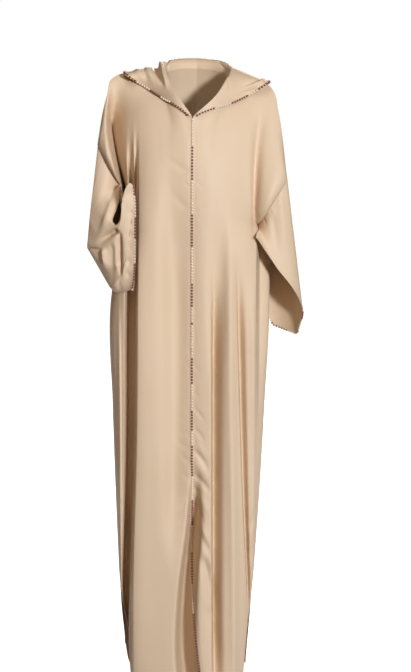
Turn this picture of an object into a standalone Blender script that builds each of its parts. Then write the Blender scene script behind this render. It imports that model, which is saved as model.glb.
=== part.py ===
"""A hooded djellaba of satin crepe, worn and hollow, with knotted bead braid down the front, round the hood and cuffs.

Metres, +Z up, the front faces -Y. The origin is where the garment hangs: between the shoulders, at shoulder height.
"Right" and "left" are the wearer's. A drop is a distance down from the origin's height.
"""

import bpy
import numpy as np
from mathutils import Vector
from mathutils.bvhtree import BVHTree

# Cloth and seams
WALL = 0.0012
SEAM_GAP = 0.0003
SLEEVE_REST = 0.010
SLEEVE_SEAM_GAP = 0.0008
HOOD_REST = 0.010
HEM_DROP = 1.48
SLIT_DROP = 1.19
SLIT_OPENING = {"front": 0.030, "back": 0.008}

# Grid of the panels: columns from the centre to the side, rows from the top to the hem
NECK_COLUMNS = 9
SHOULDER_COLUMNS = 16
UPPER_ROWS = 10
LOWER_ROWS = 16
SLEEVE_ROWS = 12
ROLL_ROWS = 3
FLAP_ROWS = 12
COLUMNS = NECK_COLUMNS + SHOULDER_COLUMNS

# Shares of the way along a sleeve of the places its table gives, and how the hood lies
STATIONS = (0.0, 0.4, 0.75, 1.0)
BAG_ROUNDNESS = 2.2
CORNER_SHARE = 0.12
CHEST_MIDDLE = (0.012, 0.0, -0.160)
SAME_POINT = 1e-5
SHARP_ANGLE = 1.2

# Bead braid
BRAID_START = 0.008
BRAID_WIDTH = 0.005
BRAID_HEIGHT = 0.0035
BRAID_GAP = 0.0003

# Colours, roughness
CLOTH_COLOUR = (0.66, 0.49, 0.33)
BRAID_COLOUR = (0.32, 0.10, 0.07)
CLOTH_ROUGHNESS = 0.5
BRAID_ROUGHNESS = 0.45

# Plan of the body under the arms: half widths to the right and left of the centre, depths to the front and back
BODY = ("drop", "right", "left", "front", "back")
BODY_ROWS = (
    (-0.020, 0.1680, 0.1620, 0.080, 0.074),
    (0.030, 0.1690, 0.1600, 0.092, 0.092),
    (0.093, 0.1690, 0.1550, 0.104, 0.104),
    (0.160, 0.1670, 0.1500, 0.117, 0.108),
    (0.254, 0.1655, 0.1470, 0.123, 0.108),
    (0.345, 0.1700, 0.1485, 0.120, 0.104),
    (0.440, 0.1830, 0.1690, 0.115, 0.101),
    (0.530, 0.1955, 0.1860, 0.113, 0.104),
    (0.776, 0.1940, 0.1760, 0.111, 0.114),
    (1.030, 0.1880, 0.1630, 0.107, 0.110),
    (1.287, 0.1790, 0.1460, 0.102, 0.105),
    (1.480, 0.1690, 0.1330, 0.097, 0.100),
)
SQUARENESS = 0.78
SIDE_TURN = 0.2

# Where the centre-front seam runs
CENTRE = ("drop", "x")
CENTRE_ROWS = ((0.093, 0.002), (0.900, 0.000), (1.100, 0.000), (1.280, 0.003), (1.400, 0.014), (1.480, 0.024))
CENTRE_JOIN_DROP = 0.300

# Neckline from the front point to the shoulder, and on to the centre back
NECK_FRONT = {
    "right": ((0.002, -0.104, -0.093), (-0.036, -0.082, -0.047), (-0.056, -0.038, -0.010), (-0.063, 0.004, 0.006)),
    "left": ((0.002, -0.104, -0.093), (0.050, -0.084, -0.058), (0.078, -0.040, -0.018), (0.087, 0.004, 0.000)),
}
NECK_BACK = {
    "right": ((0.011, 0.074, 0.020), (-0.030, 0.060, 0.019), (-0.056, 0.034, 0.012), (-0.063, 0.004, 0.006)),
    "left": ((0.011, 0.074, 0.020), (0.052, 0.060, 0.016), (0.079, 0.034, 0.007), (0.087, 0.004, 0.000)),
}
# Top of the shoulder and of the arm, from the neck to the dropped sleeve seam
SHOULDER = {
    "right": ((-0.063, 0.004, 0.006), (-0.125, 0.004, 0.004), (-0.176, 0.003, -0.002), (-0.193, 0.003, -0.022),
              (-0.205, 0.002, -0.076), (-0.2195, 0.000, -0.156)),
    "left": ((0.087, 0.004, 0.000), (0.130, 0.004, -0.005), (0.172, 0.003, -0.012), (0.192, 0.002, -0.033),
             (0.202, 0.001, -0.076), (0.2235, 0.000, -0.236)),
}
# The tilted oval of each sleeve seam: centre, half sizes across and deep, rise of its outer end
SEAM_RING = {
    "right": {"centre": (-0.1925, 0.000, -0.205), "across": 0.0270, "deep": 0.058, "rise": 0.049},
    "left": {"centre": (0.1860, 0.000, -0.2905), "across": 0.0375, "deep": 0.064, "rise": 0.0545},
}
PLACES = ("outer", "outer_front", "front", "inner_front", "inner", "inner_back", "back", "outer_back")
# Where each line down the bent right sleeve passes: upper arm, forearm, cuff
BENT_SLEEVE = {
    "outer": ((-0.2510, -0.004, -0.392), (-0.196, -0.104, -0.425), (-0.134, -0.130, -0.246)),
    "outer_front": ((-0.2370, -0.058, -0.315), (-0.190, -0.114, -0.372), (-0.158, -0.137, -0.288)),
    "front": ((-0.2150, -0.088, -0.270), (-0.204, -0.112, -0.318), (-0.171, -0.131, -0.338)),
    "inner_front": ((-0.1830, -0.072, -0.262), (-0.188, -0.098, -0.285), (-0.183, -0.118, -0.315)),
    "inner": ((-0.1670, -0.022, -0.258), (-0.162, -0.060, -0.257), (-0.143, -0.097, -0.262)),
    "inner_back": ((-0.1820, 0.035, -0.340), (-0.172, -0.066, -0.430), (-0.139, -0.101, -0.435)),
    "back": ((-0.2150, 0.058, -0.385), (-0.196, -0.048, -0.494), (-0.138, -0.117, -0.487)),
    "outer_back": ((-0.2470, 0.032, -0.400), (-0.214, -0.072, -0.476), (-0.131, -0.133, -0.412)),
}
# Where each line down the hanging left sleeve ends
HANGING_CUFF = {
    "outer": (0.267, -0.008, -0.556),
    "outer_front": (0.241, -0.054, -0.496),
    "front": (0.206, -0.068, -0.450),
    "inner_front": (0.174, -0.066, -0.403),
    "inner": (0.152, -0.026, -0.355),
    "inner_back": (0.172, 0.074, -0.490),
    "back": (0.196, 0.080, -0.602),
    "outer_back": (0.254, 0.046, -0.620),
}

# Folds of the front and back: x at the top, middle and low end of each, the drops where it starts and ends, how far
# it stands out or in, its half width at the top and low end, and how far its crest leans towards +X
FOLD = ("x_top", "x_mid", "x_low", "drop_top", "drop_low", "out", "wide_top", "wide_low", "lean")
FRONT_FOLDS = {
    "right_arm_valley": (-0.186, -0.187, -0.170, 0.030, 0.300, -0.016, 0.014, 0.014, 0.0),
    "right_chest_trough": (-0.176, -0.162, -0.143, 0.040, 0.320, -0.010, 0.018, 0.016, 0.0),
    "right_recess": (-0.142, -0.143, -0.148, 0.160, 1.600, -0.030, 0.013, 0.014, 0.0),
    "right_edge": (-0.120, -0.118, -0.124, 0.160, 1.600, 0.007, 0.014, 0.016, -0.002),
    "right_trough": (-0.034, -0.032, -0.050, 0.300, 1.150, -0.010, 0.017, 0.017, 0.0),
    "centre_trough": (-0.012, -0.018, -0.010, 0.900, 1.720, -0.056, 0.012, 0.032, 0.0),
    "left_trough": (0.050, 0.056, 0.062, 0.280, 1.600, -0.022, 0.013, 0.015, 0.0),
    "left_ridge": (0.088, 0.090, 0.098, 0.300, 1.600, 0.010, 0.014, 0.016, 0.006),
    "left_edge_trough": (0.118, 0.124, 0.124, 0.420, 1.600, -0.028, 0.010, 0.011, 0.0),
    "left_side_ridge": (0.147, 0.148, 0.138, 0.360, 1.400, 0.009, 0.012, 0.012, 0.004),
    "left_arm_valley": (0.166, 0.142, 0.150, 0.060, 0.420, -0.014, 0.018, 0.016, 0.0),
}
BACK_FOLDS = {
    "right_arm_valley": (-0.182, -0.170, -0.158, 0.050, 0.380, -0.013, 0.015, 0.015, 0.0),
    "right_outer": (-0.126, -0.138, -0.132, 0.240, 1.600, 0.016, 0.014, 0.016, -0.006),
    "right_outer_trough": (-0.100, -0.108, -0.100, 0.300, 1.600, -0.020, 0.012, 0.014, 0.0),
    "right_inner": (-0.062, -0.066, -0.062, 0.360, 1.600, 0.012, 0.014, 0.018, 0.005),
    "right_inner_trough": (-0.036, -0.034, -0.030, 0.430, 1.600, -0.024, 0.012, 0.016, 0.0),
    "centre": (0.006, 0.004, 0.008, 0.260, 1.600, 0.016, 0.016, 0.018, 0.006),
    "left_inner": (0.060, 0.050, 0.044, 0.520, 1.600, -0.026, 0.012, 0.015, 0.0),
    "left_middle": (0.086, 0.084, 0.074, 0.300, 1.600, 0.012, 0.014, 0.014, -0.005),
    "left_outer": (0.120, 0.118, 0.104, 0.380, 1.600, -0.018, 0.012, 0.013, 0.0),
    "left_arm_valley": (0.170, 0.150, 0.146, 0.080, 0.420, -0.008, 0.018, 0.018, 0.0),
}
FOLD_FADE = 0.24

# Hood, from the front point round to the centre back: how far the roll stands above and outside the neckline,
# where the beaded edge lies, and how deep the bag hangs between them
HOOD = ("share", "roll_up", "roll_out", "edge_x", "edge_y", "edge_z", "bag")
HOOD_ROWS_OF = {
    "right": (
        (0.00, 0.003, 0.000, -0.006, -0.110, -0.087, 0.000),
        (0.16, 0.012, 0.004, -0.045, -0.107, -0.062, 0.000),
        (0.36, 0.017, 0.006, -0.103, -0.087, -0.027, 0.000),
        (0.54, 0.020, 0.008, -0.160, -0.018, 0.012, 0.000),
        (0.62, 0.021, 0.009, -0.158, 0.042, 0.010, 0.006),
        (0.76, 0.023, 0.020, -0.118, 0.120, -0.012, 0.110),
        (1.00, 0.025, 0.026, 0.010, 0.172, -0.052, 0.215),
    ),
    "left": (
        (0.00, 0.003, 0.000, 0.010, -0.110, -0.087, 0.000),
        (0.16, 0.011, 0.004, 0.052, -0.106, -0.074, 0.000),
        (0.36, 0.016, 0.006, 0.118, -0.094, -0.050, 0.000),
        (0.54, 0.020, 0.008, 0.183, -0.020, -0.012, 0.000),
        (0.62, 0.021, 0.009, 0.181, 0.038, -0.012, 0.006),
        (0.76, 0.023, 0.020, 0.142, 0.118, -0.026, 0.105),
        (1.00, 0.025, 0.026, 0.010, 0.172, -0.052, 0.215),
    ),
}
SIGN = {"right": -1.0, "left": 1.0}
FACING = {"front": -1.0, "back": 1.0}


# Curves and tables
def curve(keys, values, at):
    """A smooth curve through the values at rising keys, read at these places."""
    keys, values, at = np.asarray(keys, float), np.asarray(values, float), np.asarray(at, float)
    slopes = np.gradient(values, keys, axis=0)
    i = np.clip(np.searchsorted(keys, at, side="right") - 1, 0, len(keys) - 2)
    step = keys[i + 1] - keys[i]
    f = np.clip((at - keys[i]) / step, 0.0, 1.0)
    trailing = tuple(range(at.ndim, at.ndim + values.ndim - 1))
    step, f = np.expand_dims(step, trailing), np.expand_dims(f, trailing)
    start = values[i] * (1 + 2 * f) * (1 - f) ** 2 + slopes[i] * step * f * (1 - f) ** 2
    end = values[i + 1] * (3 - 2 * f) * f**2 - slopes[i + 1] * step * f**2 * (1 - f)
    return start + end


def column(names, rows, name, at):
    """One column of a table, read along its first column."""
    table = np.array(rows, float)
    return curve(table[:, 0], table[:, names.index(name)], at)


def along(points, share):
    """The point at this share of the length of a smooth line through the points."""
    points = np.array(points, float)
    steps = np.linalg.norm(np.diff(points, axis=0), axis=1)
    keys = np.concatenate([[0.0], np.cumsum(steps)]) / steps.sum()
    return curve(keys, points, share)


def smooth_step(value):
    """Rises smoothly from 0 to 1 as the value does."""
    value = np.clip(value, 0.0, 1.0)
    return value * value * (3 - 2 * value)


# Body
def seam_ring(side, turn):
    """The sleeve seam of one side; the turn runs from 0 at its outer end, over the front, round to 1."""
    ring = SEAM_RING[side]
    angle = 2 * np.pi * np.asarray(turn, float)
    x = ring["centre"][0] + SIGN[side] * ring["across"] * np.cos(angle)
    y = ring["centre"][1] - ring["deep"] * np.sin(angle)
    z = ring["centre"][2] + ring["rise"] * np.cos(angle)
    return np.stack([x, y, z], axis=-1)


def centre_line(facing, drop):
    """The centre front or centre back line."""
    x = column(CENTRE, CENTRE_ROWS, "x", drop)
    y = FACING[facing] * column(BODY, BODY_ROWS, facing, drop)
    if facing == "back":
        x = NECK_BACK["right"][0][0] * (1 - smooth_step(drop / CENTRE_JOIN_DROP))
    return np.stack([x, y, -drop], axis=-1)


def section(side, facing, share, drop):
    """A point of the plain body under the arms, at this share of the way from the centre to the side."""
    angle = share * np.pi / 2
    centre = centre_line(facing, drop)
    half = column(BODY, BODY_ROWS, side, drop) + SIGN[side] * -centre[..., 0]
    x = centre[..., 0] + SIGN[side] * half * np.sin(angle)
    y = centre[..., 1] * np.cos(angle).clip(0) ** SQUARENESS
    return np.stack([x, y, -drop], axis=-1)


def top_edge(side, facing, share):
    """The neckline, then the shoulder out to the sleeve seam."""
    neck = NECK_COLUMNS / COLUMNS
    necklines = NECK_FRONT if facing == "front" else NECK_BACK
    on_neck = along(necklines[side], np.clip(share / neck, 0, 1))
    on_shoulder = along(SHOULDER[side], np.clip((share - neck) / (1 - neck), 0, 1))
    return np.where((share <= neck)[..., None], on_neck, on_shoulder)


def join_drop(side, share):
    """How far down the upper part of a panel reaches: to the underarm at the side."""
    underarm = -seam_ring(side, 0.5)[2]
    return CENTRE_JOIN_DROP + (underarm - CENTRE_JOIN_DROP) * share


def upper_part(side, facing, share, down):
    """The panel from the neck and shoulder to the underarm, smooth between its four edges."""
    start, end = top_edge(side, facing, share), section(side, facing, share, join_drop(side, share))
    ease = np.stack([1 - (1 - down) ** 2, 1 - (1 - down) ** 3, down], axis=-1)
    first = top_edge(side, facing, np.zeros(1))[0]
    centre_drop = -first[2] + (CENTRE_JOIN_DROP + first[2]) * down
    centre = centre_line(facing, centre_drop)
    last = centre_line(facing, np.array(CENTRE_JOIN_DROP))
    centre_bulge = centre - (first * (1 - ease) + last * ease)
    turn = down / 2 if facing == "front" else 1 - down / 2
    outer, inner = seam_ring(side, 0.0), seam_ring(side, 0.5)
    ring_bulge = seam_ring(side, turn) - (outer * (1 - ease) + inner * ease)
    near_ring = smooth_step((share - 0.35) / 0.65)[..., None]
    return start * (1 - ease) + end * ease + (1 - share)[..., None] ** 2 * centre_bulge + near_ring * ring_bulge


def fold_offsets(folds, x, drop, turn_away):
    """How far the folds move a point out, and across towards +X."""
    out, across = np.zeros_like(x), np.zeros_like(x)
    for row in folds.values():
        fold = dict(zip(FOLD, row))
        run = (drop - fold["drop_top"]) / (fold["drop_low"] - fold["drop_top"])
        ends = np.clip(run, 0, 1)
        place = curve((0.0, 0.5, 1.0), (fold["x_top"], fold["x_mid"], fold["x_low"]), ends)
        wide = (fold["wide_top"] + (fold["wide_low"] - fold["wide_top"]) * ends) * turn_away
        fade_in = smooth_step((drop - fold["drop_top"]) / FOLD_FADE)
        fade_out = smooth_step((fold["drop_low"] - drop) / FOLD_FADE)
        bump = np.exp(-(((x - place) / wide) ** 2)) * fade_in * fade_out
        out += fold["out"] * bump
        across += fold["lean"] * bump
    return out, across


def slit(side, facing, share, drop):
    """How far a panel's side edge stands away from the other panel's below the top of the slit."""
    opening = smooth_step((drop - SLIT_DROP) / (HEM_DROP - SLIT_DROP)) * smooth_step((share - 0.7) / 0.3)
    move = SLIT_OPENING[facing] * opening
    return np.stack([-SIGN[side] * 0.4 * move, FACING[facing] * move, np.zeros_like(move)], axis=-1)


def body_half(side, facing, columns, upper_rows, lower_rows):
    """The points of half the front or back: rows from the top to the hem, columns from the centre to the side."""
    share = np.linspace(0, 1, columns + 1)
    down, share_up = np.meshgrid(np.linspace(0, 1, upper_rows + 1), share, indexing="ij")
    fall, share_low = np.meshgrid(np.linspace(0, 1, lower_rows + 1)[1:], share, indexing="ij")
    join = join_drop(side, share_low)
    lower = section(side, facing, share_low, join + (HEM_DROP - join) * fall)
    plain = np.concatenate([upper_part(side, facing, share_up, down), lower])
    shares = np.concatenate([share_up, share_low])
    off_edges = np.concatenate([smooth_step(down / 0.3), np.ones_like(fall)]) * smooth_step((1 - shares) / 0.16)
    angle = shares * np.pi / 2
    folds = FRONT_FOLDS if facing == "front" else BACK_FOLDS
    out, across = fold_offsets(folds, plain[..., 0], -plain[..., 2], np.cos(angle).clip(0.45, 1))
    outward = [SIGN[side] * SIDE_TURN * np.sin(angle), FACING[facing] * np.cos(angle), np.zeros_like(angle)]
    plain = plain + unit(np.stack(outward, axis=-1)) * (out * off_edges)[..., None]
    plain[..., 0] += across * off_edges
    return plain + slit(side, facing, shares, -plain[..., 2])


# Sleeves
def around(rails, turn):
    """A smooth closed line through the points of the rails."""
    count = len(rails)
    wrapped = np.concatenate([rails[-2:], rails, rails[:3]])
    return curve(np.arange(-2, count + 3) / count, wrapped, turn)


def sleeve_points(side, columns, rows):
    """The points of a sleeve: rows from its seam to the cuff, columns round it from its outer line over the front."""
    turn = np.linspace(0, 1, columns + 1)[:-1]
    seam = seam_ring(side, turn)
    if side == "right":
        passes = [around(np.array([BENT_SLEEVE[place][k] for place in PLACES]), turn) for k in range(3)]
    else:
        cuff = around(np.array([HANGING_CUFF[place] for place in PLACES]), turn)
        passes = [seam + (cuff - seam) * STATIONS[1], seam + (cuff - seam) * STATIONS[2], cuff]
    return curve(STATIONS, np.stack([seam] + passes), np.linspace(0, 1, rows + 1))


# Hood
def neckline(side, share):
    """The neckline from the front point, share 0, past the shoulder, round to the centre back, share 1."""
    front = along(NECK_FRONT[side], np.clip(share * 2, 0, 1))
    back = along(NECK_BACK[side], np.clip(2 - share * 2, 0, 1))
    return np.where((share <= 0.5)[..., None], front, back)


def hood_points(side, columns, roll_rows, flap_rows):
    """Half the hood, laid back: rows from the neckline over the roll to the beaded edge, columns round the neck."""
    share = np.linspace(0, 1, columns + 1)
    read = {name: column(HOOD, HOOD_ROWS_OF[side], name, share) for name in HOOD[1:]}
    neck = neckline(side, share)
    outward = unit((neck - NECK_BACK[side][0] * np.array([1, 0, 0])) * np.array([1, 1, 0]))
    up = np.array([0.0, 0.0, 1.0])
    roll = neck + up * read["roll_up"][:, None] + outward * read["roll_out"][:, None]
    edge = np.stack([read["edge_x"], read["edge_y"], read["edge_z"]], axis=-1)
    rises = np.linspace(0, 1, roll_rows + 1)[:-1]
    lines = [neck + (roll - neck) * np.array([rise**2, rise**2, np.sin(rise * np.pi / 2)]) for rise in rises]
    slope = edge - roll + up * (2 * BAG_ROUNDNESS * read["bag"])[:, None]
    to_braid = 1 - np.clip(BRAID_WIDTH / np.linalg.norm(slope, axis=-1), 0, 0.5)
    for reach in [to_braid * way for way in np.linspace(0, 1, flap_rows)] + [np.ones(columns + 1)]:
        sag = 1 - abs(2 * reach - 1) ** BAG_ROUNDNESS
        lines.append(roll + (edge - roll) * reach[:, None] - up * (read["bag"] * sag)[:, None])
    return np.array(lines)


# Grids and walls
def unit(vectors):
    """The vectors at length 1."""
    return vectors / np.maximum(np.linalg.norm(vectors, axis=-1, keepdims=True), 1e-12)


def grid_faces(rows, columns, closed=False):
    """The triangles of a grid of points; a closed one joins its last column to its first."""
    faces = []
    for r in range(rows - 1):
        for c in range(columns if closed else columns - 1):
            here, beside = r * columns + c, r * columns + (c + 1) % columns
            faces += [(here, here + columns, beside + columns), (here, beside + columns, beside)]
    return faces


def tree_of(grid):
    """A search tree over an open grid whose faces look outwards."""
    return BVHTree.FromPolygons([tuple(p) for p in grid.reshape(-1, 3)], grid_faces(*grid.shape[:2]))


def keep_outside(grid, middles, trees, gaps):
    """Moves each point straight away from its middle, until it clears the surfaces by its row's gap."""
    moved = grid.copy()
    for row, row_middles, gap in zip(moved, np.broadcast_to(middles, grid.shape), gaps):
        for point, middle in zip(row, row_middles):
            middle = Vector(middle)
            out = (Vector(point) - middle).normalized()
            for tree in trees:
                place = tree.ray_cast(middle + out, -out, 1.0)[0]
                if place is not None and (place - Vector(point)).dot(out) + gap > 0:
                    point[:] = place + out * gap
    return moved


def edge_line(grid, axis, end, width):
    """The grid with one more line of points, this far in from the line at one end of an axis."""
    lines = np.moveaxis(grid, axis, 0)
    edge, inner = (lines[0], lines[1]) if end == "first" else (lines[-1], lines[-2])
    length = np.linalg.norm(inner - edge, axis=-1, keepdims=True)
    extra = edge + unit(inner - edge) * np.minimum(width, length / 2)
    lines = np.insert(lines, 1 if end == "first" else len(lines) - 1, extra, axis=0)
    return np.moveaxis(lines, 0, axis)


def inset(grid, axis, end):
    """Draws the line of points at one end of an axis in by half a seam gap."""
    lines = np.moveaxis(grid, axis, 0).copy()
    edge, inner = (0, 1) if end == "first" else (-1, -2)
    lines[edge] += unit(lines[inner] - lines[edge]) * SEAM_GAP / 2
    return np.moveaxis(lines, 0, axis)


def off_seam(grid, side):
    """Moves a sleeve's first row clear of the armhole, square to the seam's ring."""
    ring = SEAM_RING[side]
    moved = grid.copy()
    moved[0] += unit(np.array([SIGN[side] * ring["rise"], 0.0, -ring["across"]])) * SLEEVE_SEAM_GAP
    return moved


def shared_normals(groups, closed):
    """The outward normals of each grid, the same on both sides of a seam; each group counts once at a point."""
    total, places = {}, {}
    for grids in groups:
        of_group = {}
        for name, grid in grids.items():
            flat = grid.reshape(-1, 3)
            faces = np.array(grid_faces(*grid.shape[:2], closed=name in closed))
            a, b, c = (flat[faces[:, k]] for k in range(3))
            own = np.zeros_like(flat)
            for k in range(3):
                np.add.at(own, faces[:, k], np.cross(b - a, c - a))
            places[name] = [tuple(key) for key in np.round(flat / SAME_POINT).astype(int)]
            for key, normal in zip(places[name], unit(own)):
                of_group[key] = of_group.get(key, 0) + normal
        for key, normal in of_group.items():
            total[key] = total.get(key, 0) + unit(normal)
    return {name: unit(np.array([total[key] for key in places[name]])).reshape(grid.shape)
            for grids in groups for name, grid in grids.items()}


def material(name, colour, roughness):
    """A plain material of this colour."""
    made = bpy.data.materials.new(name)
    made.use_nodes = True
    shader = made.node_tree.nodes["Principled BSDF"]
    shader.inputs["Base Color"].default_value = (*colour, 1)
    shader.inputs["Roughness"].default_value = roughness
    shader.inputs["Metallic"].default_value = 0
    return made


def solid(name, outer, inner, faces, colour, roughness):
    """A closed body between two sheets of points that share their faces, with a rim round every free edge."""
    count = len(outer)
    edges = {(face[k], face[(k + 1) % 3]) for face in faces for k in range(3)}
    rim = [(a, b) for a, b in edges if (b, a) not in edges]
    body = list(faces) + [(a + count, c + count, b + count) for a, b, c in faces]
    body += [(b, a, a + count, b + count) for a, b in sorted(rim)]
    mesh = bpy.data.meshes.new(name)
    mesh.from_pydata(np.concatenate([outer, inner]).tolist(), [], body)
    mesh.materials.append(material(name, colour, roughness))
    mesh.shade_smooth()
    made = bpy.data.objects.new(name, mesh)
    bpy.context.scene.collection.objects.link(made)
    made.data.set_sharp_from_angle(angle=SHARP_ANGLE)
    return made


def cloth(name, grid, normals, closed=False):
    """A panel of cloth: its outer points, and a wall's thickness inside them."""
    outer, inner = grid.reshape(-1, 3), (grid - normals * WALL).reshape(-1, 3)
    return solid(name, outer, inner, grid_faces(*grid.shape[:2], closed=closed), CLOTH_COLOUR, CLOTH_ROUGHNESS)


def braid(name, points, normals, away, turned=False):
    """A strip of bead braid on these rows of a panel's points; turned, it lies on the panel's inner side."""
    base = points + normals * (away + BRAID_GAP)
    top = points + normals * (away + BRAID_GAP + BRAID_HEIGHT)
    faces = grid_faces(*points.shape[:2])
    if turned:
        faces = [face[::-1] for face in faces]
    return solid(name, top.reshape(-1, 3), base.reshape(-1, 3), faces, BRAID_COLOUR, BRAID_ROUGHNESS)


# The garment
def body_grids():
    """The two fronts and the back, each with its columns in the order that turns its faces outwards."""
    half = {(side, facing): body_half(side, facing, COLUMNS, UPPER_ROWS, LOWER_ROWS)
            for side in SIGN for facing in FACING}
    return {
        "front_right": edge_line(half["right", "front"], 1, "first", BRAID_WIDTH / 2)[:, ::-1],
        "front_left": edge_line(half["left", "front"], 1, "first", BRAID_WIDTH / 2),
        "back": np.concatenate([half["left", "back"][:, ::-1], half["right", "back"][:, 1:]], axis=1),
    }


def sleeve_grids(body):
    """The sleeves, just clear of the body's sides."""
    sides = [tree_of(grid[UPPER_ROWS:]) for grid in body.values()]
    grids = {}
    for side in SIGN:
        grid = sleeve_points(side, 2 * UPPER_ROWS, SLEEVE_ROWS)
        grid = edge_line(grid, 0, "last", BRAID_WIDTH)
        gaps = np.linspace(SLEEVE_REST / 3, SLEEVE_REST, len(grid) - 1)
        grid[1:] = keep_outside(grid[1:], grid[1:] * np.array([0, 0, 1]), sides, gaps)
        grids["sleeve_" + side] = grid if side == "right" else np.roll(grid[:, ::-1], 1, axis=1)
    return grids


def hood_grids(body):
    """The two halves of the hood, lying on the shoulders and the back."""
    trees = [tree_of(grid) for grid in body.values()]
    grids = {}
    for side in SIGN:
        grid = hood_points(side, 2 * NECK_COLUMNS, ROLL_ROWS, FLAP_ROWS)
        flap = grid[ROLL_ROWS:]
        grid[ROLL_ROWS:] = keep_outside(flap, CHEST_MIDDLE, trees, np.full(len(flap), HOOD_REST))
        grid[:, 0] += (grid[:, 1] - grid[:, 0]) * CORNER_SHARE
        grids["hood_" + side] = grid if side == "right" else grid[:, ::-1]
    return grids


def clear_scene():
    """Removes whatever the scene holds."""
    for old in list(bpy.data.objects):
        bpy.data.objects.remove(old)


def main():
    """Builds every piece."""
    clear_scene()
    body = body_grids()
    groups = [body, sleeve_grids(body), hood_grids(body)]
    grids = {name: grid for group in groups for name, grid in group.items()}
    tubes = set(groups[1])
    normals = shared_normals(groups, tubes)
    centre = np.concatenate([grids["front_right"][:, -2:], grids["front_left"][:, 1:2]], axis=1)
    centre_normals = np.repeat(normals["front_left"][:, :1], 3, axis=1)
    centre[0] += unit(centre[1] - centre[0]) * BRAID_START
    for name, grid in grids.items():
        drawn = inset(grid, 0, "first")
        if name in tubes:
            drawn = off_seam(drawn, name.split("_")[1])
        else:
            drawn = inset(inset(drawn, 1, "first"), 1, "last")
        cloth(name, drawn, normals[name], closed=name in tubes)
    braid("braid_front", centre, centre_normals, 0)
    for side in SIGN:
        braid("braid_hood_" + side, grids["hood_" + side][-2:], -normals["hood_" + side][-2:], WALL, turned=True)
        cuff = grids["sleeve_" + side]
        half = cuff.shape[1] // 2
        turns = np.arange(half, cuff.shape[1] + 1) % cuff.shape[1] if side == "right" else np.arange(half + 1)
        braid("braid_cuff_" + side, cuff[-2:, turns], normals["sleeve_" + side][-2:, turns], 0)


main()
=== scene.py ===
import math

import bpy
import numpy as np
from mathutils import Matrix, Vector, noise
from mathutils.bvhtree import BVHTree


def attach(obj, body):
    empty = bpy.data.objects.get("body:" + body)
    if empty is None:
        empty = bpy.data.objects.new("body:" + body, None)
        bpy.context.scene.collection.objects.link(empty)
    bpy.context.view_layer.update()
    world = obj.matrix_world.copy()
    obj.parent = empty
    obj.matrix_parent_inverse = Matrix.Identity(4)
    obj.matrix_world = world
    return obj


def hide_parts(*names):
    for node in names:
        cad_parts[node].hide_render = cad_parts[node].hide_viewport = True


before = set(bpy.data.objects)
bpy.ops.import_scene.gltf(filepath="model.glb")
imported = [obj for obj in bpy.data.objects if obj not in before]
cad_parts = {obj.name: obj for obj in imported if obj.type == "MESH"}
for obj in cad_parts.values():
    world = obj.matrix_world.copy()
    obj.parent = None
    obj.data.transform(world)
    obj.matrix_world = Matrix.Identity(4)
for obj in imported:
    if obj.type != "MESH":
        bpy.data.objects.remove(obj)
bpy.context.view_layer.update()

# Metres, +Z up, the front faces -Y, as in the part. "Right" and "left" are the wearer's, and a drop is a
# distance down from the shoulders' height.

# Cloth: its thickness, and how much a turned hem adds to each face over this many rows from the edge
WALL = 0.0006
HEM_RAISE = {"cuff": 0.0009, "foot": 0.0007}
HEM_ROWS = 2
# An edge is drawn sharp where the cloth turns by more than this
SHARP_TURN = math.radians(55)

# Gaps: at a panel's seams, at a sleeve's seam, under the hood, and between a sleeve and the body, at the cuff
# and as a share of that at the seam
SEAM_GAP = 0.0001
SLEEVE_SEAM_GAP = 0.0001
HOOD_REST = 0.0035
SLEEVE_REST = 0.006
SLEEVE_REST_AT_SEAM = 0.08
# How often a push that keeps cloth clear is eased into its surroundings
SPREADS = 12

# Hem and side slits. A panel's corner at the foot of its slit stands in from the side, away from the other
# panel, and up, and its edge opens over the outer part of its width
HEM_DROP = 1.48
SLIT_DROP = 1.19
SLIT_SHARE = 0.7
SLIT = {
    "right": {"front": (0.026, 0.012, 0.000), "back": (-0.002, 0.020, 0.070)},
    "left": {"front": (0.010, 0.010, 0.000), "back": (0.000, 0.012, 0.020)},
}

# Grids of the panels: columns from the centre to the side or round a sleeve, rows from the top to the hem
FRONT_GRID = {"columns": 150, "upper": 56, "lower": 196}
BACK_GRID = {"columns": 100, "upper": 44, "lower": 132}
SLEEVE_GRID = {"columns": 220, "rows": 90}
HOOD_GRID = {"columns": 126, "roll": 12, "flap": 60}

# The share of a panel's top edge that is neckline, and how its corner is rounded off down the panel: over how
# much of the width, by how far down, and from how many places
NECK_SHARE = 0.36
NECK_ROUND = {"reach": 0.25, "down": 0.3, "places": 15}
# The share of a panel's width from which it bends to the oval of the sleeve's seam, and how suddenly
RING_FROM = 0.35
RING_EASE = 3

# Shares of the way along a sleeve: its seam, its two middle rings and its cuff
STATIONS = (0.0, 0.4, 0.75, 1.0)

# The hood: how full its bag hangs, and the columns at its front point, drawn together by this share
BAG_ROUNDNESS = 2.2
CORNER_COLUMNS = 7
CORNER_SHARE = 0.12
# Its front part lies on the chest up to this share of its edge, fading over another, found within a reach and
# evened out over some columns. The last is the place inside the chest from which it is kept clear
LAID = {"share": 0.52, "fade": 0.12, "reach": 0.05, "columns": 11}
CHEST_MIDDLE = (0.012, 0.0, -0.160)

# Bead braid: the beads' spacing and size, how far their wraps puff out, how far their row lies in from the
# hood's and the cuff's edge and from the neck, and the share of their height that they stand off the cloth
BEAD_PITCH = 0.0071
BEAD_SIZE = (0.0050, 0.0052, 0.0042)
BEAD_PUFF = 0.09
BEAD_INSET = {"hood": 0.0026, "cuff": 0.0006}
BRAID_START = 0.008
BEAD_LIFT = {"seam": 0.42, "cuff": 0.0}

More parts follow.
